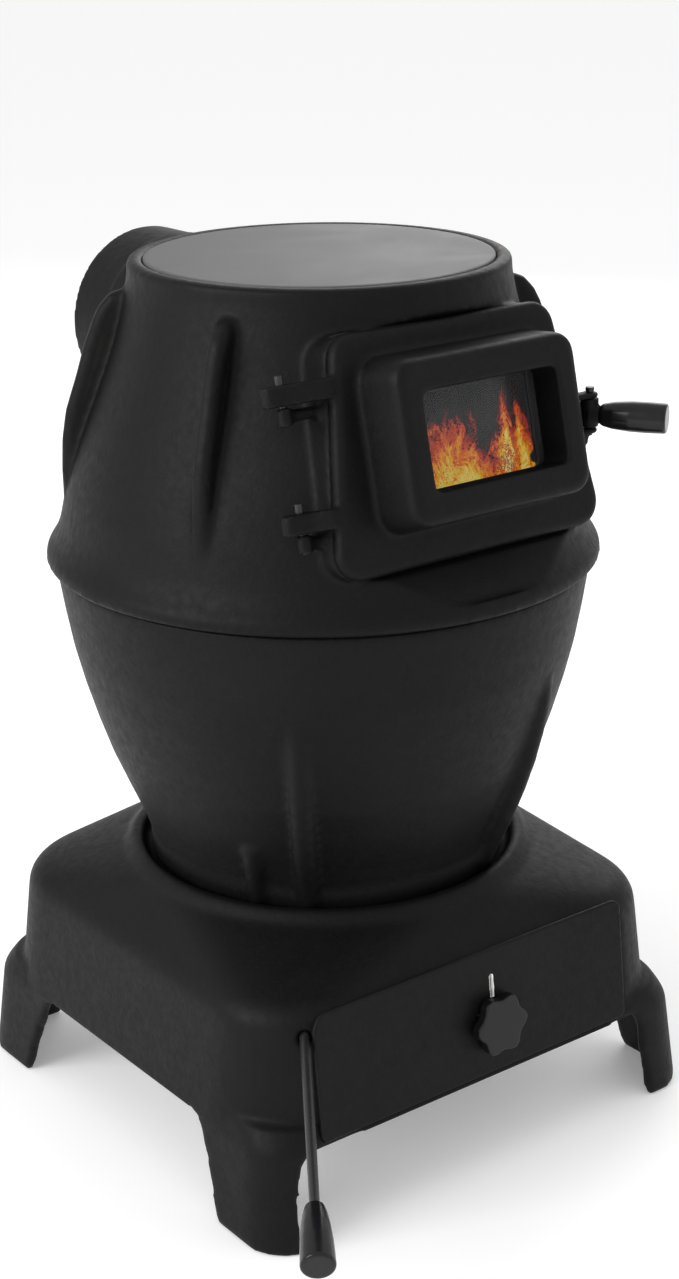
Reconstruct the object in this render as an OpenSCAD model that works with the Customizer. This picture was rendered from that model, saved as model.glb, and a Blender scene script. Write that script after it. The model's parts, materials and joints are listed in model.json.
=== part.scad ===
// Pot-belly wood burning stove: cast base with ash drawer, two-part cast pot,
// hinged fire door, lift-off hot plate, rear flue spigot and sliding shaker grate.
// The origin is on the floor under the axis of the pot. The fire door faces -Y.

/* [Pot] */
// Height of the seam between the lower and the upper pot
seam_z = 469; // [455:1:480]
// Height of the top of the stove
top_z = 708; // [700:1:716]
// Radius of the upper pot's flared lip at the seam
lip_r = 222.5; // [219:0.5:226]
// Radius of the rim round the hot plate
rim_r = 148; // [146:0.5:152]
// Thickness of the pot castings
pot_wall = 8; // [6:0.5:9]
// Radius of the lift-off hot plate
plate_r = 136.4; // [134:0.1:136.6]

/* [Base] */
// Half the width of the base's walls at their bottom
base_half = 215.5; // [210:0.5:220]
// Half the width over the feet
foot_half = 223; // [218:0.5:228]
// Radius of the base walls' upright corners
base_corner = 86; // [78:1:95]
// Radius of the feet's outer corners
foot_corner = 39; // [30:1:48]
// Clear height under the rim of the base
rim_z = 79.5; // [70:0.5:82]
// Thickness of the base casting
base_wall = 6; // [5:0.5:8]

/* [Fire door] */
// Angle by which the door leans back
door_tilt = 13.5; // [11:0.5:15]
// Distance of the door flange's face in front of the pot axis, at door_z
door_y = 174; // [172:0.5:178]
// Height of the reference line of the door flange
door_z = 590; // [586:1:594]
// How far the hood stands out of the flange
hood_d = 41; // [36:1:44]
// Half the width of the window
window_half = 63.4; // [58:0.2:66]

/* [Ash drawer] */
// Lean of the drawer front
front_tilt = 6.3; // [5:0.1:8]
// Height of the axis of the air control
air_z = 126.7; // [125:0.1:129]
// Distance of the air control's axis from the middle
air_x = 4.2; // [0:0.1:6]
// Distance of the drawer front's face from the pot axis, at air_z
front_y = 210.9; // [210:0.1:212]
// Diameter of the star knob
knob_d = 51; // [44:1:54]

/* [Flue] */
// Outer radius of the flue spigot
flue_r = 75; // [70:1:75]
// Height of the flue's axis
flue_z = 622.5; // [620:0.5:626]
// Distance of the flue's end face from the pot axis
flue_end = 249; // [240:1:256]

/* [Shaker] */
// Azimuth of the shaker rod from the front, towards the left
shaker_az = 34.6; // [33:0.1:36]
// Slope of the outer part of the shaker rod
shaker_slope = 14; // [10:0.5:16]
// Length of the sloping part of the rod with its grip
shaker_len = 217; // [200:1:240]

/* [Hidden] */
$fn = 64;
iron = [0.13, 0.13, 0.135];
steel = [0.36, 0.36, 0.37];
bright = [0.62, 0.62, 0.64];
rope_colour = [0.72, 0.70, 0.64];
gap = 0.4;

// ---- Shared outlines -------------------------------------------------------

// Points of an arc about c, with radius r, from angle a0 to a1
function arc(c, r, a0, a1, n) =
    [for (i = [0 : n]) [c[0] + r * cos(a0 + (a1 - a0) * i / n), c[1] + r * sin(a0 + (a1 - a0) * i / n)]];

// Square of half width a, with corners of radius r
function round_square(a, r, n = 10) =
    [for (k = [0 : 3]) each arc([(a - r) * (k == 0 || k == 3 ? 1 : -1), (a - r) * (k < 2 ? 1 : -1)],
                                r, 90 * k, 90 * k + 90, n)];

// Rectangle from -w to w and from y0 to y1, with corners of radius r
function round_rect(w, y0, y1, r, n = 6) =
    [for (k = [0 : 3]) each arc([(w - r) * (k == 0 || k == 3 ? 1 : -1), k < 2 ? y1 - r : y0 + r],
                                r, 90 * k, 90 * k + 90, n)];

// Outline of the door flange, wider at the bottom, drawn in by inset
flange_top = 95;
flange_bottom = -80.3;
flange_half_top = 103;
flange_half_bottom = 128.3;
flange_lean = atan((flange_half_bottom - flange_half_top) / (flange_top - flange_bottom));
function flange_half(s) = flange_half_bottom
    + (flange_half_top - flange_half_bottom) * (s - flange_bottom) / (flange_top - flange_bottom);
function flange_outline(inset, r, n = 8) =
    let (t = flange_top - inset, b = flange_bottom + inset,
         ht = flange_half(t) - inset / cos(flange_lean) - r / cos(flange_lean) + r * tan(flange_lean),
         hb = flange_half(b) - inset / cos(flange_lean) - r / cos(flange_lean) - r * tan(flange_lean))
    concat(arc([ht, t - r], r, flange_lean, 90, n), arc([-ht, t - r], r, 90, 180 - flange_lean, n),
           arc([-hb, b + r], r, 180 - flange_lean, 270, n), arc([hb, b + r], r, 270, 360 + flange_lean, n));

// Six-lobed star
function star(r, depth, n = 12) =
    [for (i = [0 : 6 * n - 1]) let (a = 360 * i / (6 * n)) (r - depth / 2 + depth / 2 * cos(6 * a))
        * [cos(a), sin(a)]];

module slab(points, z, h = 0.05) {
    translate([0, 0, z]) linear_extrude(h) polygon(points);
}

// Local frames: X across, Y up along the leaning face, Z out of the face
module at_door() {
    translate([0, -door_y, door_z]) rotate([90 - door_tilt, 0, 0]) children();
}
module at_front() {
    translate([0, -front_y, air_z]) rotate([90 - front_tilt, 0, 0]) children();
}

// ---- Base ------------------------------------------------------------------

wall_lean = 0.1096;
function wall_half(z) = base_half - wall_lean * (z - rim_z - 4.5);
shoulder_z = 165;
shoulder_r = 25;
base_top_z = 216.5;
collar_top_z = 225;
collar_r = 154;
foot_ledge_z = 214;
leg_arch_z = 66;
pit_floor_z = 88;

module base_solid(inset) {
    hull() {
        slab(round_square(wall_half(rim_z) - inset, base_corner - inset), rim_z - (inset > 0 ? 20 : 0));
        for (a = [0 : 15 : 75]) let (back = inset + shoulder_r * (1 - cos(a)))
            slab(round_square(wall_half(shoulder_z) - back, base_corner - 8 - back * 0.6), shoulder_z + shoulder_r * sin(a) - inset);
        translate([0, 0, base_top_z - inset - 0.05]) cylinder(r = 168 - inset, h = 0.05);
    }
}

module skirt_solid(inset) {
    hull() {
        slab(round_square(foot_half - inset, foot_corner - inset), inset > 0 ? -1 : 0);
        slab(round_square(base_half - inset, foot_corner - inset), rim_z);
        slab(round_square(base_half - 1.5 - inset, foot_corner + 3 - inset), rim_z + 6);
        slab(round_square(base_half - 4.5 - inset, foot_corner + 14 - inset), rim_z + 17);
    }
}

// Half of a cut between two legs: the leg's edge leans in towards the arch
function leg_edge(foot, knee, crown) =
    concat([[foot, -1], [foot - 7, 19], [foot - 17, 46]], arc([knee - 20, crown - 20], 20, 0, 90, 6));

module leg_cut(side) {
    polygon(concat(side, [for (i = [len(side) - 1 : -1 : 0]) [-side[i][0], side[i][1]]]));
}

module base_casting() {
    color(iron) difference() {
        union() {
            difference() {
                union() {
                    base_solid(0);
                    skirt_solid(0);
                }
                base_solid(base_wall);
                skirt_solid(9);
            }
            collar();
            ledge_lugs();
            drawer_surround();
        }
        translate([0, 0, foot_ledge_z - 30]) cylinder(r = 118, h = 60);
        translate([0, 0, foot_ledge_z]) cylinder(r = collar_r, h = 40);
        leg_cuts();
        drawer_opening();
        shaker_hole();
        pot_bolt_holes(-30, 60, 4.3);
    }
}

// Ledge the pot stands on, with the raised ring round it that falls away softly
module collar() {
    ring = 6;
    rotate_extrude() polygon(concat([[118, foot_ledge_z], [118, foot_ledge_z - 8], [164, foot_ledge_z - 8], [172, 208]],
        arc([collar_r + ring + 13, collar_top_z + 8], 14, 250, 222, 5), arc([collar_r + ring, collar_top_z - ring], ring, 50, 180, 8),
        [[collar_r, foot_ledge_z]]));
}

// Pads under the pot's ledge for the four pot bolts
module ledge_lugs() {
    for (a = [0 : 90 : 270]) rotate(a)
        translate([127, 0, foot_ledge_z - 14]) cylinder(r = 9, h = 10);
}

// Arches between the legs; the front one is wider and runs up behind the drawer front
module leg_cuts() {
    for (a = [-90, 90, 180]) rotate([0, 0, a]) translate([0, -150, 0]) rotate([90, 0, 0])
        linear_extrude(100) leg_cut(leg_edge(145, 120, rim_z));
    translate([0, -150, 0]) rotate([90, 0, 0]) linear_extrude(100)
        polygon([[-195, -1], [172.5, -1], [165.5, 48], [163.5, 72], [157, rim_z], [-180, rim_z], [-187, 72], [-193, 46]]);
}

drawer_half = 122;
drawer_bottom = 91;
drawer_top = 172.5;
module drawer_opening() {
    translate([-drawer_half - 2, -260, drawer_bottom - 1.5]) cube([2 * drawer_half + 4, 120, drawer_top - drawer_bottom + 1.5]);
    at_front() translate([0, 0, -front_t - 0.5]) linear_extrude(60) front_outline(1.5);
}

// Thicker frame round the drawer opening, behind the seat of the drawer front
module drawer_surround() {
    at_front() translate([0, 0, -front_t - 10]) linear_extrude(9) polygon(round_rect(138, -41, 56, 6));
}

module ash_pit_floor() {
    color(steel) translate([0, 0, pit_floor_z - 2]) difference() {
        linear_extrude(2) polygon(round_square(base_half - 14, base_corner - 14));
        for (x = [-150, 150], y = [-150, 150]) translate([x, y, -1]) cylinder(d = 6.6, h = 5);
    }
}

module floor_screws() {
    color(bright) for (x = [-150, 150], y = [-150, 150]) translate([x, y, pit_floor_z - 6]) {
        cylinder(d = 11, h = 4);
        translate([0, 0, 3.9]) cylinder(d = 6, h = 12.1);
    }
}

rail_x = 127;
module drawer_rails() {
    color(steel) for (s = [-1, 1]) difference() {
        translate([s > 0 ? rail_x - 1 : -rail_x - 19, -190, pit_floor_z]) cube([20, 330, 22]);
        translate([s > 0 ? rail_x + 1 : -rail_x - 20, -191, pit_floor_z + 2]) cube([19, 332, 21]);
    }
}

// ---- Pot -------------------------------------------------------------------

foot_r = 148;
pot_foot_z = foot_ledge_z;

// Outer outline of the lower pot, from the bottom to the seam
lower_outline = [[112, pot_foot_z], [foot_r, pot_foot_z], [foot_r, 236], [153.2, 252], [165.9, 282], [178.3, 312], [188.3, 342],
    [197.1, 372], [204.4, 402], [209.7, 432], [213.6, 458], [214.6, seam_z]];
lower_inner = [[206, seam_z], [205.2, 458], [201.4, 432], [196, 402], [188.6, 372], [179.8, 342], [170, 312],
    [157.6, 282], [145, 252], [135, 226], [133.4, 223], [112, 223]];

// Upright fin, rounded by three layers of falling reach; side is its outline (radius, height)
module pot_fin(azimuth, side, width) {
    for (layer = [[0, 0], [0.5, 2], [1, 4.5]]) let (w = width * (1 + layer[0]))
        rotate([0, 0, azimuth]) translate([0, w / 2, 0]) rotate([90, 0, 0]) linear_extrude(w)
            offset(delta = -layer[1]) polygon(side);
}

fin_azimuths = [-133, -67, 47, 113];
fin_side = [[138, 217], [153.2, 217], [155, 227], [161, 241], [170.5, 262], [182, 292], [191, 320], [198.3, 350],
    [202, 370], [203.3, 394], [190, 394], [160, 290], [138, 240]];
lug_azimuth = -149;
lug_side = [[138, 217], [153.2, 217], [155, 227], [160, 244], [164.5, 262], [166, 272], [160, 276], [140, 250]];

module lower_pot() {
    color(iron) difference() {
        union() {
            rotate_extrude() difference() {
                polygon(concat(lower_outline, lower_inner));
                translate([209.5, seam_z]) circle(r = 2.6);
            }
            for (a = fin_azimuths) pot_fin(a, fin_side, 9);
            pot_fin(lug_azimuth, lug_side, 7);
        }
        pot_bolt_holes(-10, 40, 4.3);
    }
}

module pot_bolt_holes(z0, h, r) {
    for (a = [0 : 90 : 270]) rotate(a) translate([127, 0, pot_foot_z + z0]) cylinder(r = r, h = h);
}

module pot_bolts() {
    color(bright) for (a = [0 : 90 : 270]) rotate(a) translate([127, 0, 0]) {
        translate([0, 0, 223]) cylinder(d = 12, h = 3);
        translate([0, 0, 190]) cylinder(d = 8, h = 33.05);
    }
}

module pot_nuts() {
    color(bright) for (a = [0 : 90 : 270]) rotate(a) translate([127, 0, foot_ledge_z - 20.6]) difference() {
        cylinder(d = 15, h = 6.5, $fn = 6);
        translate([0, 0, -1]) cylinder(d = 8.1, h = 9);
    }
}

module seam_rope() {
    color(rope_colour) rotate_extrude() translate([209.5, seam_z]) circle(r = 2.55);
}

// Outer outline of the upper pot, from the lip to the rim
upper_outline = concat([[lip_r - 4, seam_z + 0.3], [lip_r, seam_z + 4], [lip_r - 0.8, seam_z + 10.5]],
    [[219, 484], [214.6, 490.5], [210.6, 500], [208, 511], [204.6, 527], [199, 547], [192, 567], [184.3, 587],
     [176.2, 607], [168.4, 627], [161.4, 647], [155.6, 667], [151.4, 684], [rim_r + 1.2, 696]],
    arc([rim_r - 3, top_z - 4], 4, 10, 90, 5));
rebate_r = 137;
upper_inner = [[rebate_r, top_z], [rebate_r, top_z - 6], [127, top_z - 6], [127, top_z - 14], [139, 690], [143.4, 682],
    [147.6, 667], [153.3, 647], [160.3, 627], [168, 607], [176, 587], [183.6, 567], [190.5, 547], [196, 527],
    [200, 508], [203, 490], [205, 480], [206, seam_z]];

module upper_shell() {
    rotate_extrude() difference() {
        polygon(concat(upper_outline, upper_inner));
        translate([209.5, seam_z]) circle(r = 2.6);
    }
}

// Everything inside the upper pot's inner surface
module upper_hollow() {
    rotate_extrude() polygon(concat([[0, top_z - 14]], [for (i = [3 : len(upper_inner) - 1]) upper_inner[i]],
        [[206, seam_z - 20], [0, seam_z - 20]]));
}

// Upright rib, with a rounded crest built from three layers
rib_azimuths = [-63, 63, -120, 120];
module pot_rib(azimuth) {
    for (layer = [[8, 0], [12, 1.5], [15.5, 5]]) rotate([0, 0, azimuth])
        translate([0, layer[0] / 2, 0]) rotate([90, 0, 0]) linear_extrude(layer[0]) offset(delta = -layer[1])
            polygon([[188, 512], [206, 516], [206.3, 545], [204.8, 570], [201, 592], [191.5, 620], [184.5, 643],
                     [177, 663], [172, 673], [163, 683], [146, 688], [146, 660], [160, 620], [178, 570]]);
}

door_box_back = -100;
door_gap = 11;

// Side outlines (along the door plane, out of it) of the door's seat and of the metal behind its scooped sill
seat_side = [[-82, -door_gap], [-82, -5], [-113, 14.5], [-113, 70], [95.6, 70], [95.6, -door_gap]];
sill_side = [[-60, -door_gap - 7], [-84, -door_gap - 7], [-120, 5], [-113, 14.4], [-82, -5.1], [-82, -door_gap],
             [-60, -door_gap]];

lintel_side = [[78, -door_gap - 14], [108, -door_gap - 14], [108, -6], [95.4, -6], [95.4, -door_gap], [78, -door_gap]];

module across_door(side, half) {
    at_door() rotate([90, 0, 90]) translate([0, 0, -half]) linear_extrude(2 * half) polygon(side);
}
module door_box() {
    at_door() translate([0, 0, door_box_back]) linear_extrude(-door_box_back - door_gap)
        polygon(flange_outline(0, 20));
}

module door_tunnel() {
    at_door() translate([0, 0, door_box_back - 60]) linear_extrude(-door_box_back + 60)
        polygon(flange_outline(17, 12));
}

hinge_x = -141;
hinge_out = -20;
arm_t = 15;
arm_low = [-39, 52];
boss_r = 5.6;
pin_r = 2.5;

// Boss below each hinge arm, with the web that carries it
module hinge_bosses() {
    at_door() for (s = arm_low) {
        translate([hinge_x, s - gap - 15, hinge_out]) rotate([-90, 0, 0]) cylinder(r = boss_r, h = 15);
        translate([hinge_x, s - gap - 12, hinge_out - 7]) cube([32, 9, 9]);
    }
}

module hinge_pin_holes() {
    at_door() for (s = arm_low)
        translate([hinge_x, s - 30, hinge_out]) rotate([-90, 0, 0]) cylinder(r = pin_r + 0.05, h = 60);
}

flue_boss_y = 118;
flue_bolt_x = flue_r + 12;
flue_flange_top = 77;

// Outline of the spigot's flange: a disc cut flat under the hot plate, with two ears
module flue_flange_shape(inset) {
    intersection() {
        union() {
            circle(r = flue_r + 10 - inset);
            for (x = [-1, 1]) translate([x * flue_bolt_x, 0]) circle(r = 10 - inset);
        }
        translate([-120, -120]) square([240, 120 + flue_flange_top]);
    }
}

// Everything inside the upper pot's outer surface, less a skin of 1 mm
module upper_filled() {
    rotate_extrude() polygon(concat([[0, seam_z + 6]],
        [for (p = upper_outline) if (p[1] > seam_z + 6 && p[1] < top_z - 10) p - [1, 0]], [[0, top_z - 12]]));
}

// Flat seat for the spigot's flange
module flue_seat() {
    intersection() {
        translate([0, flue_boss_y, flue_z]) rotate([-90, 0, 0]) linear_extrude(90) mirror([0, 1, 0]) flue_flange_shape(0);
        upper_filled();
    }
}

module upper_pot() {
    color(iron) difference() {
        union() {
            difference() {
                union() {
                    upper_shell();
                    difference() {
                        door_box();
                        upper_hollow();
                        translate([-150, -100, 500]) cube([300, 300, 250]);
                    }
                    for (a = rib_azimuths) pot_rib(-90 + a);
                }
                translate([0, 0, top_z - 6]) cylinder(r = rebate_r, h = 20);
                across_door(seat_side, flange_half_bottom + 1.5);
            }
            intersection() {
                union() {
                    across_door(sill_side, 100);
                    across_door(lintel_side, 80);
                }
                upper_filled();
            }
            hinge_bosses();
            flue_seat();
        }
        door_tunnel();
        hinge_pin_holes();
        translate([0, flue_boss_y - 1, flue_z]) rotate([-90, 0, 0]) cylinder(r = flue_r + 1.3, h = 100);
        flue_bolt_holes();
        keeper_hole(0.02);
    }
}

module hot_plate() {
    color([0.30, 0.30, 0.31]) translate([0, 0, top_z - 5.9]) cylinder(r = plate_r, h = 5.9);
}

flue_step_y = flue_end - 50;
module flue_spigot() {
    color(iron) translate([0, 0, flue_z]) rotate([-90, 0, 0]) difference() {
        union() {
            translate([0, 0, flue_boss_y - 6]) linear_extrude(6) mirror([0, 1, 0]) flue_flange_shape(0.5);
            translate([0, 0, flue_boss_y - 1]) cylinder(r = flue_r + 1, h = flue_step_y - flue_boss_y + 1);
            translate([0, 0, flue_step_y - 1]) cylinder(r = flue_r, h = flue_end - flue_step_y + 1);
        }
        translate([0, 0, flue_boss_y - 7]) cylinder(r = flue_r - 6, h = flue_end);
        for (x = [-1, 1]) translate([x * flue_bolt_x, 0, flue_boss_y - 10]) cylinder(r = 3.3, h = 12);
    }
}

module flue_bolts() {
    color(bright) for (x = [-1, 1]) translate([x * flue_bolt_x, flue_boss_y - 6, flue_z]) rotate([-90, 0, 0]) {
        translate([0, 0, -4]) cylinder(d = 11, h = 4, $fn = 6);
        translate([0, 0, -0.05]) cylinder(r = 3, h = 24);
    }
}

module flue_bolt_holes() {
    for (x = [-1, 1]) translate([x * flue_bolt_x, flue_boss_y - 1, flue_z]) rotate([-90, 0, 0]) cylinder(r = 3.02, h = 22);
}

// ---- Grate and shaker ------------------------------------------------------

ring_z = 223.2;
module grate_ring() {
    color(steel) translate([0, 0, ring_z + 3.2]) difference() {
        cylinder(r = 131, h = 5);
        translate([0, 0, -1]) cylinder(r = 80, h = 7);
    }
}

grate_z = ring_z + 8.5;
grate_r = 102;
rod_z = 165.5;
// Where the rod leaves the base's wall
hole = [-166.2, -189.2, 165.5];
dir = [-sin(shaker_az), -cos(shaker_az), 0];
lug_back = 212;
lug = [hole[0] - dir[0] * lug_back, hole[1] - dir[1] * lug_back];
rod_r = 4.2;

module grate() {
    color(steel) difference() {
        union() {
            translate([0, 0, grate_z]) cylinder(r = grate_r, h = 9);
            translate([lug[0], lug[1], rod_z - 9]) rotate([0, 0, -90 - shaker_az])
                translate([-5, -7, 0]) cube([10, 14, grate_z - rod_z + 10]);
        }
        for (i = [-4 : 4]) if (i != 0) translate([18 * i, 0, grate_z - 1]) grate_slot(86 * cos(asin(18 * abs(i) / 92)));
        translate([lug[0], lug[1], rod_z]) rotate([0, 0, -90 - shaker_az]) rotate([0, 90, 0])
            cylinder(r = rod_r + 0.05, h = 40, center = true);
    }
}

// Slot of the grate, in two halves with a bridge between them
module grate_slot(reach) {
    for (s = [-1, 1]) translate([-4, s > 0 ? 7 : -reach, 0]) cube([8, reach - 7, 12]);
}

bend = [hole[0] + dir[0] * 6, hole[1] + dir[1] * 6, rod_z];
module shaker_frame() {
    translate(bend) rotate([0, 0, -90 - shaker_az]) children();
}

rod_end_r = 3.7;
grip_len = 54;
module shaker_rod() {
    color(steel) shaker_frame() {
        translate([-lug_back - 18, 0, 0]) rotate([0, 90, 0]) cylinder(r = rod_r, h = lug_back + 18);
        sphere(r = rod_r);
        rotate([0, 90 + shaker_slope, 0]) cylinder(r1 = rod_r, r2 = rod_end_r, h = shaker_len - grip_len);
        rotate([0, 90 + shaker_slope, 0]) cylinder(r = rod_end_r, h = shaker_len - 12);
    }
}

module shaker_grip() {
    color([0.05, 0.05, 0.05]) shaker_frame() rotate([0, 90 + shaker_slope, 0])
        translate([0, 0, shaker_len - grip_len]) rotate_extrude()
            polygon(concat([[rod_end_r + 0.02, 0], [5.6, 0], [7.2, 1.8], [8.8, 8], [10.4, 18], [11.6, 30], [12.2, 42]],
                           arc([10.5, grip_len - 2], 2, 0, 90, 4), [[0, grip_len], [0, shaker_len - 12 - (shaker_len - grip_len) + 0.1],
                           [rod_end_r + 0.02, shaker_len - 12 - (shaker_len - grip_len) + 0.1]]));
}

module rod_cotter() {
    color(bright) translate([lug[0] - dir[0] * 9, lug[1] - dir[1] * 9, rod_z]) difference() {
        translate([0, 0, -9]) cylinder(d = 2.4, h = 18);
        rotate([0, 0, -90 - shaker_az]) rotate([0, 90, 0]) cylinder(r = rod_r + 0.02, h = 20, center = true);
    }
}

module shaker_hole() {
    shaker_frame() translate([-60, 0, 0]) rotate([0, 90, 0]) cylinder(r = rod_r + 0.9, h = 90);
}

// ---- Ash drawer ------------------------------------------------------------

front_t = 3.5;
front_left = -169.6;
front_right = 146;
front_low = -42.7;
front_high = 61.8;
module front_outline(grow = 0) {
    offset(delta = grow) polygon(concat(arc([front_right - 10, front_high - 10], 10, 0, 90, 6),
        arc([front_left + 15, front_high - 15], 15, 90, 180, 6),
        [[front_left, front_low + 5], [front_left + 3, front_low], [front_right - 3, front_low],
         [front_right, front_low + 3]]));
}

slot_in = 20;
slot_out = 40;
slot_w = 2.4;
port_r = 14.5;
// One radial slot above the knob and three round ports behind it
module air_ports(turn, h) {
    rotate([0, 0, turn]) {
        translate([-slot_w / 2, slot_in, 0]) cube([slot_w, slot_out - slot_in, h]);
        for (a = [30, 150, 270]) rotate([0, 0, a]) translate([port_r, 0, 0]) cylinder(d = 9.5, h = h);
    }
}

module at_air() {
    at_front() translate([air_x, 0, 0]) children();
}

spindle_r = 3;
screw_at = [for (x = [-95, 95], y = [-16, 28]) [x, y]];
module drawer_front() {
    color(iron) difference() {
        at_front() translate([0, 0, -front_t]) linear_extrude(front_t) front_outline();
        at_air() translate([0, 0, -front_t - 1]) {
            air_ports(0, front_t + 2);
            cylinder(r = spindle_r + 0.05, h = front_t + 2);
        }
    }
}

pan_out = -front_t - 7.5;
pan_back = 134;
pan_wall = 1.5;
pan_top = 154;
// Side outline of the pan (Y, Z), whose front leans like the drawer front
function pan_side(inset, top) =
    let (front = function (z) -front_y + (z - air_z) * tan(front_tilt) - pan_out / cos(front_tilt) + inset)
    [[front(drawer_bottom + inset), drawer_bottom + inset], [pan_back - inset, drawer_bottom + inset],
     [pan_back - inset, top], [front(top), top]];

module pan_solid(inset, top) {
    rotate([90, 0, 90]) translate([0, 0, inset - drawer_half]) linear_extrude(2 * (drawer_half - inset))
        polygon(pan_side(inset, top));
}

module ash_pan() {
    color(steel) difference() {
        pan_solid(0, pan_top);
        pan_solid(pan_wall, pan_top + 20);
        at_air() translate([0, 0, -40]) cylinder(r = 30, h = 50);
        at_front() for (p = screw_at) translate([p[0], p[1], -40]) cylinder(r = 2.55, h = 50);
    }
}

// Shouldered studs behind the drawer front, with nuts inside the pan
module drawer_screws() {
    color(steel) at_front() for (p = screw_at) translate([p[0], p[1], 0]) {
        translate([0, 0, pan_out]) cylinder(r = 4.5, h = -pan_out - front_t);
        translate([0, 0, pan_out - 8]) cylinder(r = 2.5, h = 8.1);
        translate([0, 0, pan_out - pan_wall - 4]) cylinder(r = 4.5, h = 4);
    }
}

module air_shutter() {
    color(bright) at_air() difference() {
        translate([0, 0, -front_t - 2.2]) linear_extrude(2) union() {
            circle(r = 23);
            polygon(concat([[0, 0]], arc([0, 0], slot_out + 1.8, 15, 105, 16)));
        }
        translate([0, 0, -front_t - 3]) air_ports(-60, 4);
        translate([0, 0, -front_t - 3]) cylinder(r = spindle_r + 0.02, h = 4);
    }
}

knob_out = 11.5;
module air_knob() {
    color([0.12, 0.12, 0.12]) at_air() difference() {
        translate([0, 0, knob_out - 8.5]) linear_extrude(8.5) polygon(star(knob_d / 2, 4.5));
        translate([0, 0, 0]) cylinder(r = spindle_r + 0.02, h = knob_out - 2.9);
    }
}

module air_spindle() {
    color(bright) at_air() {
        translate([0, 0, -front_t - 4]) cylinder(r = spindle_r, h = knob_out - 3 + front_t + 4);
        translate([0, 0, -front_t - 5.2]) cylinder(r = 6, h = 3);
    }
}

module air_spring() {
    color(bright) at_air() for (z = [0.3, 1.6]) translate([0, 0, z]) difference() {
        cylinder(r = 6.5, h = 1.2);
        translate([0, 0, -1]) cylinder(r = spindle_r + 0.4, h = 4);
    }
}

// ---- Fire door -------------------------------------------------------------

plate_t = 10.6;
hood_top = 71.5;
hood_bottom = -48.5;
hood_half = 85;
window_top = 47.2;
window_bottom = -24.8;
glass_out = 11;

// Flange of the door, with a rounded front edge of radius 6
module flange() {
    hull() {
        slab(flange_outline(0, 20), -plate_t);
        for (a = [0, 30, 60, 89]) slab(flange_outline(6 - 6 * cos(a), 20 - 6 + 6 * cos(a)), -6.05 + 6 * sin(a));
    }
}

module hood() {
    hull() {
        translate([0, 0, -1]) linear_extrude(0.1) polygon(round_rect(hood_half + 4, hood_bottom - 4, hood_top + 4, 19));
        translate([0, 0, hood_d - 7]) linear_extrude(0.1) polygon(round_rect(hood_half, hood_bottom, hood_top, 16));
        translate([0, 0, hood_d - 2]) linear_extrude(0.1) polygon(round_rect(hood_half - 2, hood_bottom + 2, hood_top - 2, 14));
        translate([0, 0, hood_d - 0.1]) linear_extrude(0.1) polygon(round_rect(hood_half - 7, hood_bottom + 7, hood_top - 7, 10));
    }
}

// Arm from the flange's left edge to the hinge pin
module hinge_arm(s) {
    half = flange_half(s + arm_t / 2);
    translate([0, s + arm_t, 0]) rotate([90, 0, 0]) linear_extrude(arm_t)
        polygon([[-half + 14, -0.5], [-half - 4, -1.5], [hinge_x + 4, hinge_out + 9], [hinge_x - 13, hinge_out + 7],
                 [hinge_x - 16, hinge_out + 4], [hinge_x - 16, hinge_out - 3], [hinge_x - 13, hinge_out - 6],
                 [hinge_x + 6, hinge_out - 7], [-half - 5, -door_gap - 1.5], [-half - 1.2, -9.5], [-half + 14, -9.5]]);
}

latch_x = 126;
latch_y = -173;
latch_z = 594.5;
latch_low = latch_z - 11;
latch_high = latch_z + 11;
latch_pin_r = 2.8;

// Ears above and below the latch lever's barrel
module latch_ears() {
    for (z = [latch_low - 5.4, latch_high + 0.4]) translate([0, 0, z]) linear_extrude(5) {
        translate([latch_x, latch_y]) circle(r = 6.8);
        polygon([[latch_x - 22, latch_y - 4.5], [latch_x, latch_y - 6.8], [latch_x + 1, latch_y + 6], [latch_x - 22, latch_y + 4]]);
    }
}

module latch_web() {
    translate([0, 0, latch_low - 13]) linear_extrude(8)
        polygon([[latch_x - 22, latch_y - 5], [latch_x - 4, latch_y - 5], [latch_x - 4, latch_y + 2.5], [latch_x - 22, latch_y + 2.5]]);
}

module door_casting() {
    color(iron) difference() {
        union() {
            at_door() {
                flange();
                hood();
                for (s = arm_low) hinge_arm(s);
            }
            latch_ears();
            latch_web();
        }
        at_door() {
            translate([0, 0, -20]) linear_extrude(80) polygon(round_rect(window_half, window_bottom, window_top, 6));
            translate([0, 0, -30]) linear_extrude(30 + glass_out) polygon(round_rect(window_half + 9, window_bottom - 9, window_top + 9, 8));
            for (s = arm_low) translate([hinge_x, s - 1, hinge_out]) rotate([-90, 0, 0]) cylinder(r = pin_r + 0.06, h = arm_t + 2);
            rope_groove();
            glass_screw_holes(1.9);
        }
        translate([latch_x, latch_y, latch_low - 20]) cylinder(r = latch_pin_r + 0.02, h = 60);
        translate([latch_x, latch_y, latch_low - 0.4]) cylinder(r = 8.2, h = latch_high - latch_low + 0.8);
    }
}

module rope_groove() {
    translate([0, 0, -plate_t - 1]) linear_extrude(5) difference() {
        polygon(flange_outline(4.5, 15.5));
        polygon(flange_outline(12.5, 9));
    }
}

module door_rope() {
    color(rope_colour) at_door() translate([0, 0, -plate_t - 0.2]) linear_extrude(4.1) difference() {
        polygon(flange_outline(4.8, 15));
        polygon(flange_outline(12.2, 9.5));
    }
}

module door_glass() {
    color([0.85, 0.45, 0.12, 0.6]) at_door() translate([0, 0, glass_out - 4.6]) linear_extrude(4)
        polygon(round_rect(window_half + 5.5, window_bottom - 5.5, window_top + 5.5, 4));
}

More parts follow.
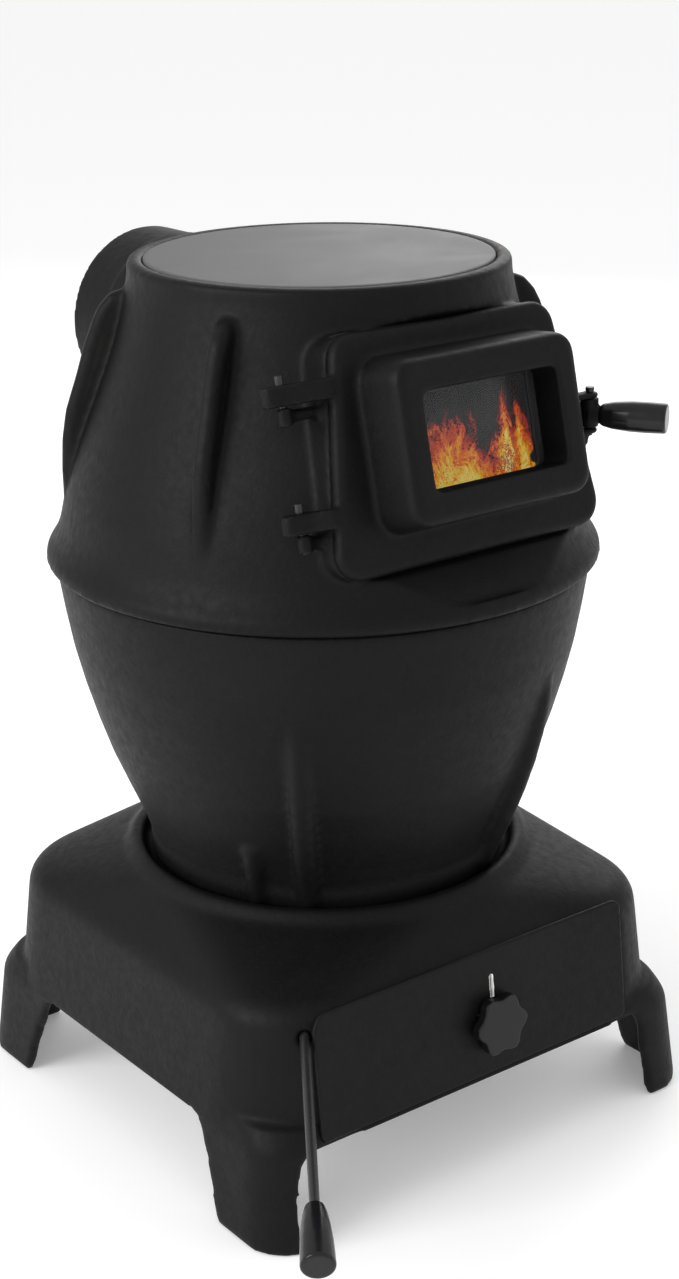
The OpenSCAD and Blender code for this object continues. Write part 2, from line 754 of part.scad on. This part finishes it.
module glass_rope() {
    color(rope_colour) at_door() translate([0, 0, glass_out - 5.6]) linear_extrude(5.5) difference() {
        polygon(round_rect(window_half + 8.7, window_bottom - 8.7, window_top + 8.7, 7));
        polygon(round_rect(window_half + 5.7, window_bottom - 5.7, window_top + 5.7, 4.2));
    }
}

module glass_frame() {
    color(steel) at_door() difference() {
        translate([0, 0, 2.2]) linear_extrude(3) polygon(round_rect(window_half + 8.5, window_bottom - 8.5, window_top + 8.5, 7));
        translate([0, 0, 0]) linear_extrude(8) polygon(round_rect(window_half + 2, window_bottom - 2, window_top + 2, 6));
    }
}

glass_screw_x = window_half + 15;
module glass_screw_holes(r) {
    for (x = [-1, 1], y = [window_bottom + 4, window_top - 4]) translate([x * glass_screw_x, y, -plate_t - 2]) cylinder(r = r, h = 20);
}

// Screws with wide washers that hold the glass frame from behind
module glass_screws() {
    color(bright) at_door() for (x = [-1, 1], y = [window_bottom + 4, window_top - 4]) {
        translate([x * glass_screw_x, y, -plate_t - 0.3]) cylinder(r = 1.85, h = 14);
        translate([x * glass_screw_x, y, -plate_t - 3.8]) cylinder(r = 5, h = 3.6);
    }
}

module hinge_pins() {
    color(steel) at_door() for (s = arm_low) {
        translate([hinge_x, s - gap - 14, hinge_out]) rotate([-90, 0, 0]) cylinder(r = pin_r, h = arm_t + 19);
        translate([hinge_x, s + arm_t + 0.3, hinge_out]) rotate([-90, 0, 0]) cylinder(r = 3.1, h = 6.2);
    }
}

// ---- Latch -----------------------------------------------------------------

lever_az = 35;
lever_root = 8;
grip_end = 60;
module latch_lever() {
    color(iron) translate([latch_x, latch_y, 0]) difference() {
        union() {
            translate([0, 0, latch_low]) cylinder(r = 7, h = latch_high - latch_low);
            rotate([0, 0, lever_az - 90]) translate([0, 0, latch_z - 1.5]) rotate([0, 90, 0])
                cylinder(r1 = 8.4, r2 = 7, h = lever_root + 0.5);
            translate([0, 0, latch_low + 2]) linear_extrude(14)
                polygon([[-6, 0], [6.8, 0], [8, 14], [7.2, 24], [4.5, 27], [-3, 27], [-3, 23], [-2, 21], [1.6, 21],
                         [1.6, 12], [-3, 6]]);
        }
        translate([0, 0, latch_low - 1]) cylinder(r = latch_pin_r + 0.05, h = 30);
        rotate([0, 0, lever_az - 90]) translate([5, 0, latch_z - 1.5]) rotate([0, 90, 0])
            cylinder(r = 2.52, h = 8);
    }
}

module at_grip() {
    translate([latch_x, latch_y, latch_z - 1.5]) rotate([0, 0, lever_az - 90]) rotate([0, 90, 0]) children();
}

module latch_tang() {
    color(bright) at_grip() translate([0, 0, 5.1]) cylinder(r = 2.5, h = grip_end - 16);
}

module latch_grip() {
    color([0.05, 0.05, 0.05]) at_grip() difference() {
        rotate_extrude() polygon(concat([[0, lever_root + 0.6], [7.2, lever_root + 0.6], [8.8, lever_root + 3],
            [10.6, lever_root + 11], [11.8, lever_root + 24], [12, lever_root + 36], [11.7, grip_end - 3]],
            arc([9.9, grip_end - 1.8], 1.8, 0, 90, 4), [[0, grip_end]]));
        translate([0, 0, 5]) cylinder(r = 2.52, h = grip_end - 15.8);
    }
}

module latch_pin() {
    color(steel) translate([latch_x, latch_y, 0]) {
        translate([0, 0, latch_low - 7]) cylinder(r = latch_pin_r, h = latch_high - latch_low + 14);
        translate([0, 0, latch_high + 5.8]) cylinder(r = 3.4, h = 3);
    }
}

// Catch on the side of the door's frame, which the lever's nose closes behind
module latch_keeper() {
    color(iron) difference() {
        translate([latch_x, latch_y, latch_low + 3]) linear_extrude(12)
            polygon([[-14, 14], [-5, 14], [-3.5, 15.5], [-3.5, 20], [-14, 20]]);
        at_door() translate([0, 0, -120]) linear_extrude(140) polygon(flange_outline(-0.05, 20));
        keeper_hole(0.02);
    }
}

module keeper_hole(grow) {
    translate([latch_x - 30, latch_y + 17.2, latch_low + 9]) rotate([0, 90, 0]) {
        cylinder(r = 1.5 + grow, h = 26.3);
        translate([0, 0, 24.8]) cylinder(r = 2.4 + grow, h = 2);
    }
}

module keeper_screw() {
    color(bright) translate([latch_x - 29.8, latch_y + 17.2, latch_low + 9]) rotate([0, 90, 0]) {
        cylinder(r = 1.5, h = 26);
        translate([0, 0, 24.8]) cylinder(r = 2.4, h = 1.3);
    }
}

base_casting();
ash_pit_floor();
floor_screws();
drawer_rails();
lower_pot();
pot_bolts();
pot_nuts();
seam_rope();
upper_pot();
hot_plate();
flue_spigot();
flue_bolts();
grate_ring();
grate();
shaker_rod();
shaker_grip();
rod_cotter();
drawer_front();
ash_pan();
drawer_screws();
air_shutter();
air_knob();
air_spindle();
air_spring();
door_casting();
door_glass();
glass_rope();
glass_frame();
glass_screws();
door_rope();
hinge_pins();
latch_lever();
latch_grip();
latch_pin();
latch_tang();
latch_keeper();
keeper_screw();
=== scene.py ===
"""Looks for the pot-belly wood burning stove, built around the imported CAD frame.

The big castings are soft-edged copies of their CAD nodes. Everything is in metres, Z up,
with the fire door towards -Y.
"""
import json
import math

import bmesh
import bpy
from mathutils import Matrix, Vector, noise


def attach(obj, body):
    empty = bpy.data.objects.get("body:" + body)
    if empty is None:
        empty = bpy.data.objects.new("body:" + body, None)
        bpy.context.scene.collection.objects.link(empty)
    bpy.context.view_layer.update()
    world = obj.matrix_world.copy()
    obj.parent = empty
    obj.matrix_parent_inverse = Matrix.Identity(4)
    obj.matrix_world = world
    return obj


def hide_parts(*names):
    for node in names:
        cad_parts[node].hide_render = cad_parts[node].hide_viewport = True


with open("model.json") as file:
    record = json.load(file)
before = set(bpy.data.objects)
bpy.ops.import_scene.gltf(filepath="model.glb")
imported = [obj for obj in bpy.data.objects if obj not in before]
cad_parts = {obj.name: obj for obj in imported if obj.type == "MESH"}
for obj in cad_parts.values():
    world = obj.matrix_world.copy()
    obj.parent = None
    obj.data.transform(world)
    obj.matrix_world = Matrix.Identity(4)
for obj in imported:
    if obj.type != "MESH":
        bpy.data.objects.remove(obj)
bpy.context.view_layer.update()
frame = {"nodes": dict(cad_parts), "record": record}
NODES = frame["nodes"]
BODY_OF = {n: b for b, members in frame["record"]["behaviour"]["bodies"].items() for n in members}

# ---- Camera and light -----------------------------------------------------------------------

CAMERA_AT = Vector((-1.0455, -1.3886, 1.0191))
CAMERA_LOOK = Vector((0.5656, 0.7512, -0.3404))
CAMERA_ROLL = -0.01386
CAMERA_LENS = 63.35
CAMERA_SHIFT = 0.0117
KEY_LIGHT = {"at": (-3.0, 0.2, 1.9), "size": 2.0, "power": 70}
FILL_LIGHT = {"at": (2.4, -2.6, 2.0), "size": 2.5, "power": 4}
RIM_LIGHT = {"at": (2.2, 1.6, 1.8), "size": 1.8, "power": 24}
WORLD_STRENGTH = 0.8
FLOOR_GLOW = 0.18


def add_camera():
    """The camera, turned to look along CAMERA_LOOK and rolled a little."""
    data = bpy.data.cameras.new("camera")
    data.lens = CAMERA_LENS
    data.shift_x = CAMERA_SHIFT
    data.clip_end = 100
    camera = bpy.data.objects.new("camera", data)
    bpy.context.scene.collection.objects.link(camera)
    forward = CAMERA_LOOK.normalized()
    level = forward.cross(Vector((0, 0, 1))).normalized()
    upright = level.cross(forward)
    right = math.cos(CAMERA_ROLL) * level + math.sin(CAMERA_ROLL) * upright
    up = right.cross(forward)
    turn = Matrix((right, up, -forward)).transposed()
    camera.matrix_world = Matrix.Translation(CAMERA_AT) @ turn.to_4x4()
    bpy.context.scene.camera = camera


def add_area_light(name, at, size, power, target=(0, 0, 0.35)):
    """A square soft light at a place, turned to a target."""
    data = bpy.data.lights.new(name, "AREA")
    data.size = size
    data.energy = power
    light = bpy.data.objects.new(name, data)
    bpy.context.scene.collection.objects.link(light)
    light.location = at
    light.rotation_euler = (Vector(target) - Vector(at)).to_track_quat("-Z", "Y").to_euler()


def add_surroundings():
    """A plain pale floor and an even pale sky."""
    world = bpy.data.worlds.new("studio")
    world.use_nodes = True
    sky = world.node_tree.nodes["Background"]
    sky.inputs["Color"].default_value = (1, 1, 1, 1)
    sky.inputs["Strength"].default_value = WORLD_STRENGTH
    bpy.context.scene.world = world
    bpy.ops.mesh.primitive_plane_add(size=60)
    floor = bpy.context.object
    floor.name = "floor"
    material = bpy.data.materials.new("floor_paper")
    material.use_nodes = True
    shader = material.node_tree.nodes["Principled BSDF"]
    shader.inputs["Base Color"].default_value = (0.93, 0.93, 0.93, 1)
    shader.inputs["Roughness"].default_value = 0.9
    shader.inputs["Emission Color"].default_value = (1, 1, 1, 1)
    shader.inputs["Emission Strength"].default_value = FLOOR_GLOW
    floor.data.materials.append(material)
    bpy.context.scene.view_settings.view_transform = "Standard"


# ---- Material nodes -------------------------------------------------------------------------


class Paint:
    """A Principled material and short ways to wire procedural detail into it."""

    def __init__(self, name):
        self.material = bpy.data.materials.new(name)
        self.material.use_nodes = True
        self.tree = self.material.node_tree
        self.shader = self.tree.nodes["Principled BSDF"]
        self.place = self.node("ShaderNodeTexCoord").outputs["Object"]

    def node(self, kind, **settings):
        made = self.tree.nodes.new(kind)
        for key, value in settings.items():
            setattr(made, key, value)
        return made

    def set(self, **values):
        for key, value in values.items():
            self.shader.inputs[key.replace("_", " ")].default_value = value
        return self

    def link(self, source, target):
        self.tree.links.new(source, self.shader.inputs[target] if isinstance(target, str) else target)

    def noise(self, scale, detail=4.0, rough=0.55, warp=0.0, at=None):
        made = self.node("ShaderNodeTexNoise")
        made.inputs["Scale"].default_value = scale
        made.inputs["Detail"].default_value = detail
        made.inputs["Roughness"].default_value = rough
        made.inputs["Distortion"].default_value = warp
        self.link(at or self.place, made.inputs["Vector"])
        return made.outputs["Fac"]

    def ramp(self, source, stops):
        """stops: list of (position, colour or grey)."""
        made = self.node("ShaderNodeValToRGB")
        band = made.color_ramp
        while len(band.elements) < len(stops):
            band.elements.new(0.5)
        for element, (position, colour) in zip(band.elements, stops):
            element.position = position
            grey = isinstance(colour, (int, float))
            element.color = (colour, colour, colour, 1) if grey else (*colour, 1)
        self.link(source, made.inputs["Fac"])
        return made.outputs["Color"]

    def math(self, operation, a, b=None, clamp=False):
        made = self.node("ShaderNodeMath", operation=operation, use_clamp=clamp)
        for socket, value in zip(made.inputs, (a, b)):
            if isinstance(value, (int, float)):
                socket.default_value = value
            elif value is not None:
                self.link(value, socket)
        return made.outputs["Value"]

    def mix(self, share, a, b):
        """Colour a where share is 0, b where it is 1."""
        made = self.node("ShaderNodeMix", data_type="RGBA")
        for socket, value in zip((made.inputs[0], made.inputs[6], made.inputs[7]), (share, a, b)):
            if isinstance(value, (tuple, list)):
                socket.default_value = (*value, 1)
            elif isinstance(value, (int, float)):
                socket.default_value = value
            else:
                self.link(value, socket)
        return made.outputs[2]

    def stretched(self, scale):
        made = self.node("ShaderNodeMapping")
        made.inputs["Scale"].default_value = scale
        self.link(self.place, made.inputs["Vector"])
        return made.outputs["Vector"]

    def bumps(self, layers):
        """layers: list of (height source, distance in metres), stacked."""
        last = None
        for height, distance in layers:
            made = self.node("ShaderNodeBump")
            made.inputs["Strength"].default_value = 1
            made.inputs["Distance"].default_value = distance
            self.link(height, made.inputs["Height"])
            if last is not None:
                self.link(last, made.inputs["Normal"])
            last = made.outputs["Normal"]
        self.link(last, "Normal")

    def edges(self, low, high):
        """1 on outer edges, lightened by wear and by a painted highlight; 0 elsewhere."""
        geometry = self.node("ShaderNodeNewGeometry")
        return self.ramp(geometry.outputs["Pointiness"], [(low, 0), (high, 1)])

    def facing_axis(self):
        """1 on surfaces that face the pot's axis, which is the inside of a pot."""
        geometry = self.node("ShaderNodeNewGeometry")
        flat = self.node("ShaderNodeVectorMath", operation="MULTIPLY")
        self.link(geometry.outputs["Position"], flat.inputs[0])
        flat.inputs[1].default_value = (1, 1, 0)
        out = self.node("ShaderNodeVectorMath", operation="NORMALIZE")
        self.link(flat.outputs["Vector"], out.inputs[0])
        dot = self.node("ShaderNodeVectorMath", operation="DOT_PRODUCT")
        self.link(out.outputs["Vector"], dot.inputs[0])
        self.link(geometry.outputs["Normal"], dot.inputs[1])
        return self.ramp(dot.outputs["Value"], [(0.0, 1), (0.08, 0)])

    def slot_highlight_walls(self):
        """1 on the side walls of the draught slot above the star knob, where a painted highlight goes; 0
        elsewhere.
        """
        at = self.node("ShaderNodeSeparateXYZ")
        self.link(self.place, at.inputs["Vector"])
        facing = self.node("ShaderNodeSeparateXYZ")
        self.link(self.node("ShaderNodeNewGeometry").outputs["Normal"], facing.inputs["Vector"])
        aside = self.math("ABSOLUTE", self.math("SUBTRACT", at.outputs["X"], SLOT_X))
        near = self.math("LESS_THAN", aside, SLOT_HALF)
        above = self.math("GREATER_THAN", at.outputs["Z"], SLOT_FOOT)
        turned = self.math("ABSOLUTE", facing.outputs["X"])
        sideways = self.math("GREATER_THAN", turned, SLOT_WALL_TURN)
        return self.math("MULTIPLY", self.math("MULTIPLY", near, above), sideways)


# The draught slot in the drawer front: its middle, half its width and the height of its foot
SLOT_X = 0.0042
SLOT_HALF = 0.0030
SLOT_FOOT = 0.1445
# How far a face of the slot has to turn sideways to count as its side wall
SLOT_WALL_TURN = 0.35

# Base colours that several pieces share
# Painted highlight: near-white for the side walls of the draught slot, so they show as a bright line
SLOT_HIGHLIGHT_WHITE = (0.95, 0.95, 0.93)
PAINT_DARK = (0.0030, 0.0030, 0.0031)
PAINT_LIGHT = (0.0044, 0.0044, 0.0043)
# Bare iron grey for random specks, and for outer edges, where it is partly wear and partly a painted
# highlight
IRON_SPECK_AND_EDGE_HIGHLIGHT = (0.030, 0.0295, 0.029)
SOOT = (0.028, 0.022, 0.018)
SOOT_DARK = (0.012, 0.010, 0.009)


def stove_paint(name, sooty=False, edge_wear_and_highlight=0.35, slot_highlight=False):
    """Matt black stove paint over sand-cast iron."""
    paint = Paint(name)
    cloud = paint.noise(9, detail=5, warp=0.6)
    colour = paint.mix(paint.ramp(cloud, [(0.35, 0), (0.68, 1)]), PAINT_DARK, PAINT_LIGHT)
    speckle = paint.noise(420, detail=3)
    colour = paint.mix(paint.ramp(speckle, [(0.55, 0), (0.75, 0.12)]), colour, IRON_SPECK_AND_EDGE_HIGHLIGHT)
    # Outer edges lighten towards bare iron: partly wear, partly a painted highlight along the edges
    worn_and_highlit = paint.math("MULTIPLY", paint.edges(0.53, 0.60), edge_wear_and_highlight)
    colour = paint.mix(worn_and_highlit, colour, IRON_SPECK_AND_EDGE_HIGHLIGHT)
    if sooty:
        scale = paint.noise(60, detail=6, warp=1.2)
        flakes = paint.ramp(scale, [(0.4, SOOT_DARK), (0.62, SOOT)])
        colour = paint.mix(paint.facing_axis(), colour, flakes)
    # Painted highlight: the side walls of the draught slot are coloured near-white
    if slot_highlight:
        colour = paint.mix(paint.slot_highlight_walls(), colour, SLOT_HIGHLIGHT_WHITE)
    paint.link(colour, "Base Color")
    paint.link(paint.ramp(paint.noise(140, detail=4), [(0.3, 0.46), (0.7, 0.58)]), "Roughness")
    paint.set(Specular_IOR_Level=0.14)
    paint.bumps([
        (paint.noise(22, detail=2), 0.0006),
        (paint.noise(260, detail=3), 0.00022),
        (paint.noise(1100, detail=2), 0.00008),
    ])
    return paint.material


def bare_iron(name, dark, light, scale=30, rough=(0.42, 0.6)):
    """Bare or heat-scaled iron, mottled."""
    paint = Paint(name)
    mottle = paint.noise(scale, detail=6, warp=0.8)
    paint.link(paint.ramp(mottle, [(0.32, dark), (0.7, light)]), "Base Color")
    scale_grain = paint.noise(scale * 6, detail=4)
    paint.link(paint.ramp(scale_grain, [(0.3, rough[0]), (0.7, rough[1])]), "Roughness")
    paint.set(Metallic=0.6)
    paint.bumps([(paint.noise(180, detail=4), 0.0002), (paint.noise(900, detail=2), 0.00006)])
    return paint.material


def hot_plate_iron():
    """Ground face of the hot plate: fine circular scratches and a faint cloud."""
    paint = Paint("hot_plate_iron")
    flat = paint.stretched((1, 1, 0))
    radius = paint.node("ShaderNodeVectorMath", operation="LENGTH")
    paint.link(flat, radius.inputs[0])
    spin = paint.node("ShaderNodeCombineXYZ")
    paint.link(radius.outputs["Value"], spin.inputs["X"])
    scratches = paint.noise(1600, detail=4, at=spin.outputs["Vector"])
    cloud = paint.noise(14, detail=5, warp=0.7)
    tone = paint.math("ADD", paint.math("MULTIPLY", scratches, 0.35), paint.math("MULTIPLY", cloud, 0.65))
    ground = [(0.36, (0.085, 0.085, 0.087)), (0.64, (0.118, 0.117, 0.116))]
    paint.link(paint.ramp(tone, ground), "Base Color")
    paint.link(paint.ramp(cloud, [(0.3, 0.5), (0.7, 0.62)]), "Roughness")
    paint.set(Metallic=0.35, Specular_IOR_Level=0.35)
    paint.bumps([(scratches, 0.00004), (paint.noise(500, detail=3), 0.00005)])
    return paint.material


def sheet_steel(name, dark, light, metallic=0.9, rough=(0.3, 0.45), streak=(60, 900, 900)):
    """Rolled or plated sheet with a faint grain along X."""
    paint = Paint(name)
    grain = paint.noise(1, detail=4, at=paint.stretched(streak))
    cloud = paint.noise(25, detail=4)
    paint.link(paint.ramp(cloud, [(0.3, dark), (0.7, light)]), "Base Color")
    paint.link(paint.ramp(grain, [(0.3, rough[0]), (0.7, rough[1])]), "Roughness")
    paint.set(Metallic=metallic)
    paint.bumps([(grain, 0.00003)])
    return paint.material


def black_bar(name):
    """Semi-gloss black bar with fine drawing marks and rubbed spots."""
    paint = Paint(name)
    rub = paint.ramp(paint.noise(70, detail=5, warp=0.5), [(0.60, 0), (0.75, 0.55)])
    paint.link(paint.mix(rub, (0.016, 0.016, 0.017), (0.055, 0.054, 0.053)), "Base Color")
    paint.link(paint.ramp(paint.noise(300, detail=3), [(0.3, 0.26), (0.7, 0.38)]), "Roughness")
    paint.set(Specular_IOR_Level=0.5)
    paint.bumps([(paint.noise(500, detail=3), 0.00006)])
    return paint.material


def moulding(name, rough, colour=(0.008, 0.008, 0.009), grain=0.00003):
    """Hard black heat-proof moulding."""
    paint = Paint(name)
    dust = paint.ramp(paint.noise(220, detail=5), [(0.58, 0), (0.80, 0.15)])
    paint.link(paint.mix(dust, colour, (0.03, 0.03, 0.031)), "Base Color")
    sheen = paint.noise(90, detail=4)
    paint.link(paint.ramp(sheen, [(0.3, rough * 0.85), (0.7, rough * 1.15)]), "Roughness")
    paint.set(Specular_IOR_Level=0.3)
    paint.bumps([(paint.noise(1400, detail=2), grain)])
    return paint.material


def woven_rope(name):
    """Glass-fibre rope, off-white with grey soot."""
    paint = Paint(name)
    weave = paint.node("ShaderNodeTexWave", wave_type="BANDS", bands_direction="DIAGONAL")
    weave.inputs["Scale"].default_value = 180
    weave.inputs["Distortion"].default_value = 1.5
    paint.link(paint.place, weave.inputs["Vector"])
    soot = paint.ramp(paint.noise(40, detail=5), [(0.35, (0.16, 0.15, 0.13)), (0.65, (0.5, 0.48, 0.43))])
    paint.link(paint.mix(weave.outputs["Fac"], soot, (0.33, 0.32, 0.29)), "Base Color")
    paint.set(Roughness=0.95)
    paint.bumps([(weave.outputs["Fac"], 0.0006)])
    return paint.material


def stove_glass():
    """Ceramic glass with a light smoky bloom."""
    paint = Paint("ceramic_glass")
    bloom = paint.noise(24, detail=5, warp=0.8)
    paint.link(paint.ramp(bloom, [(0.3, (0.07, 0.072, 0.075)), (0.7, (0.10, 0.10, 0.10))]), "Base Color")
    paint.link(paint.ramp(bloom, [(0.3, 0.06), (0.7, 0.16)]), "Roughness")
    paint.link(paint.ramp(bloom, [(0.3, 0.30), (0.75, 0.40)]), "Alpha")
    paint.set(Specular_IOR_Level=0.4)
    return paint.material


# Foot and top of the sheets that carry the flames, and the span that FLAME_TOPS is laid along
FIRE_LOW = 0.545
FIRE_HIGH = 0.640
FIRE_LEFT = -0.018
FIRE_WIDTH = 0.125
# Height of the flames across the opening, left to right, as shares of FIRE_HIGH - FIRE_LOW
FLAME_TOPS = [
    (0.0, 0.48), (0.12, 0.60), (0.26, 0.66), (0.38, 0.60), (0.50, 0.34),
    (0.62, 0.32), (0.70, 0.46), (0.76, 0.80), (0.83, 0.52), (1.0, 0.50),
]
# From the thin outer edge of a flame to its hottest part
FLAME_COLOURS = [
    (0.0, (0.12, 0.001, 0.0)),
    (0.14, (0.42, 0.006, 0.0)),
    (0.28, (0.80, 0.06, 0.0)),
    (0.42, (1.0, 0.28, 0.0)),
    (0.62, (1.0, 0.66, 0.01)),
    (0.88, (1.0, 0.88, 0.30)),
]
# Each sheet: how far back it stands (Y) and the shift that sets its ripple apart
FLAME_SHEETS = {"flames_front": (-0.158, 3.1), "flames_back": (-0.140, 8.7)}
FLAME_HALF_WIDTH = 0.100
FLAME_LEAN = 0.22
FLAME_RIPPLE = 0.005
FLAME_COLUMNS = 90
FLAME_ROWS = 50


def flame_light():
    """Two tongues of flame: pale yellow at the root, orange curls, then dark red and gone."""
    paint = Paint("flame_light")
    split = paint.node("ShaderNodeSeparateXYZ")
    paint.link(paint.place, split.inputs["Vector"])
    risen = paint.math("SUBTRACT", split.outputs["Z"], FIRE_LOW)
    height = paint.math("DIVIDE", risen, FIRE_HIGH - FIRE_LOW)
    along = paint.math("SUBTRACT", split.outputs["X"], FIRE_LEFT)
    across = paint.math("DIVIDE", along, FIRE_WIDTH, clamp=True)
    tops = paint.ramp(across, FLAME_TOPS)
    tongues = paint.noise(1, detail=3, warp=1.4, at=paint.stretched((85, 85, 40)))
    curls = paint.noise(1, detail=7, rough=0.68, warp=3.2, at=paint.stretched((120, 120, 95)))
    off_ridge = paint.math("ABSOLUTE", paint.math("SUBTRACT", curls, 0.5))
    ridge = paint.math("MULTIPLY", off_ridge, 3.4)
    ragged = paint.math("MULTIPLY", paint.math("SUBTRACT", tongues, 0.5), 0.7)
    room = paint.math("SUBTRACT", paint.math("ADD", tops, ragged), height)
    heat = paint.math("SUBTRACT", paint.math("MULTIPLY", room, 1.7), ridge, clamp=True)
    paint.link(paint.ramp(heat, FLAME_COLOURS), "Emission Color")
    paint.link(paint.ramp(heat, [(0.02, 0), (0.16, 1)]), "Alpha")
    paint.set(Base_Color=(0, 0, 0, 1), Roughness=1.0, Specular_IOR_Level=0.0, Emission_Strength=1.0)
    return paint.material


# ---- Pieces ---------------------------------------------------------------------------------


def welded_copy(node):
    """A new mesh with the CAD node's shape and its doubled corners joined."""
    copy = bmesh.new()
    copy.from_mesh(NODES[node].data)
    bmesh.ops.remove_doubles(copy, verts=copy.verts, dist=1e-6)
    mesh = bpy.data.meshes.new(node + "_looks")
    copy.to_mesh(mesh)
    copy.free()
    mesh.materials.clear()
    return mesh


def apply_modifiers(obj):
    """Puts the mesh that the modifiers make in the place of the one they started from."""
    depsgraph = bpy.context.evaluated_depsgraph_get()
    done = bpy.data.meshes.new_from_object(obj.evaluated_get(depsgraph))
    obj.modifiers.clear()
    obj.data = done


def add_piece(name, mesh, material, node=None, body=None):
    """Links a mesh as a piece that rides on a body and, with node, hides that CAD node in its place."""
    piece = bpy.data.objects.new(name, mesh)
    bpy.context.scene.collection.objects.link(piece)
    mesh.materials.append(material)
    mesh.shade_smooth()
    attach(piece, body or BODY_OF[node])
    if node:
        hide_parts(node)
    return piece


def cast_piece(node, material, voxel, rounds, keep=1.0):
    """Soft-edged copy of a CAD node: voxel remesh, then smoothing that rounds its edges."""
    piece = bpy.data.objects.new(node + "_shell", welded_copy(node))
    bpy.context.scene.collection.objects.link(piece)
    remesh = piece.modifiers.new("remesh", "REMESH")
    remesh.mode = "VOXEL"
    remesh.voxel_size = voxel
    soften = piece.modifiers.new("soften", "SMOOTH")
    soften.factor = 0.5
    soften.iterations = rounds
    if keep < 1:
        thin = piece.modifiers.new("thin", "DECIMATE")
        thin.ratio = keep
    bpy.context.view_layer.update()
    apply_modifiers(piece)
    mesh = piece.data
    bpy.data.objects.remove(piece)
    mesh.materials.clear()
    return add_piece(node + "_soft", mesh, material, node=node)


def finish_node(node, material):
    """Gives a CAD node that is shown as it is its material."""
    mesh = NODES[node].data
    mesh.materials.clear()
    mesh.materials.append(material)


def flame_sheet(name, depth, shift):
    """A wavy upright sheet in the door opening that carries the flames."""
    mesh = bpy.data.meshes.new(name)
    build = bmesh.new()
    grid = []
    for j in range(FLAME_ROWS + 1):
        line = []
        z = FIRE_LOW + (FIRE_HIGH - FIRE_LOW) * j / FLAME_ROWS
        for i in range(FLAME_COLUMNS + 1):
            x = -FLAME_HALF_WIDTH + 2 * FLAME_HALF_WIDTH * i / FLAME_COLUMNS
            wave = noise.noise(Vector((x * 26 + shift, z * 18, shift)))
            y = depth + (z - FIRE_LOW) * FLAME_LEAN + FLAME_RIPPLE * wave
            line.append(build.verts.new((x, y, z)))
        grid.append(line)
    for row, above in zip(grid, grid[1:]):
        for i in range(FLAME_COLUMNS):
            build.faces.new((row[i], row[i + 1], above[i + 1], above[i]))
    build.to_mesh(mesh)
    build.free()
    return mesh


add_camera()
add_surroundings()
add_area_light("key_light", **KEY_LIGHT)
add_area_light("fill_light", **FILL_LIGHT)
add_area_light("rim_light", **RIM_LIGHT)

body_paint = stove_paint("body_paint")
pot_paint = stove_paint("pot_paint", sooty=True)
door_paint = stove_paint("door_paint", edge_wear_and_highlight=0.5)
front_paint = stove_paint("front_paint", edge_wear_and_highlight=0.3, slot_highlight=True)
scaled_iron = bare_iron("scaled_iron", (0.035, 0.028, 0.024), (0.11, 0.085, 0.07))
pan_sheet = sheet_steel("pan_sheet", (0.20, 0.20, 0.20), (0.30, 0.30, 0.295))
zinc_sheet = sheet_steel("zinc_sheet", (0.72, 0.73, 0.74), (0.86, 0.86, 0.86), rough=(0.25, 0.4))
dark_fixing = sheet_steel("dark_fixing", (0.09, 0.09, 0.092), (0.16, 0.16, 0.16), rough=(0.35, 0.5))
bar_black = black_bar("bar_black")
grip_gloss = moulding("grip_gloss", 0.2)
knob_satin = moulding("knob_satin", 0.38, colour=(0.004, 0.004, 0.004), grain=0.00005)
rope_fibre = woven_rope("rope_fibre")
plate_iron = hot_plate_iron()
glass = stove_glass()
flames = flame_light()

cast_piece("base_casting", body_paint, 0.0026, 14, keep=0.5)
cast_piece("lower_pot", pot_paint, 0.0026, 12, keep=0.7)
cast_piece("upper_pot", pot_paint, 0.0022, 9, keep=0.5)
cast_piece("door_casting", door_paint, 0.0016, 12)
cast_piece("flue_spigot", body_paint, 0.0020, 3, keep=0.8)
cast_piece("hot_plate", plate_iron, 0.0016, 2, keep=0.7)
cast_piece("drawer_front", front_paint, 0.0011, 3, keep=0.8)
cast_piece("latch_lever", door_paint, 0.0007, 5)
cast_piece("air_knob", knob_satin, 0.0007, 6)
cast_piece("latch_grip", grip_gloss, 0.0008, 3)
cast_piece("shaker_grip", grip_gloss, 0.0008, 3)
cast_piece("grate", scaled_iron, 0.0015, 4)

CAD_LOOKS = {
    "ash_pit_floor": pan_sheet,
    "floor_screws": dark_fixing,
    "drawer_rails": pan_sheet,
    "pot_bolts": dark_fixing,
    "pot_nuts": dark_fixing,
    "seam_rope": rope_fibre,
    "flue_bolts": dark_fixing,
    "grate_ring": scaled_iron,
    "shaker_rod": bar_black,
    "rod_cotter": dark_fixing,
    "ash_pan": pan_sheet,
    "drawer_screws": dark_fixing,
    "air_shutter": zinc_sheet,
    "air_spindle": dark_fixing,
    "air_spring": dark_fixing,
    "door_glass": glass,
    "glass_rope": rope_fibre,
    "glass_frame": pan_sheet,
    "glass_screws": dark_fixing,
    "door_rope": rope_fibre,
    "hinge_pins": bar_black,
    "latch_pin": bar_black,
    "latch_tang": dark_fixing,
    "latch_keeper": door_paint,
    "keeper_screw": dark_fixing,
}
for cad_node, look in CAD_LOOKS.items():
    finish_node(cad_node, look)

for name, (depth, shift) in FLAME_SHEETS.items():
    sheet = add_piece(name, flame_sheet(name, depth, shift), flames, body="stove")
    sheet.visible_diffuse = False
    sheet.visible_glossy = False
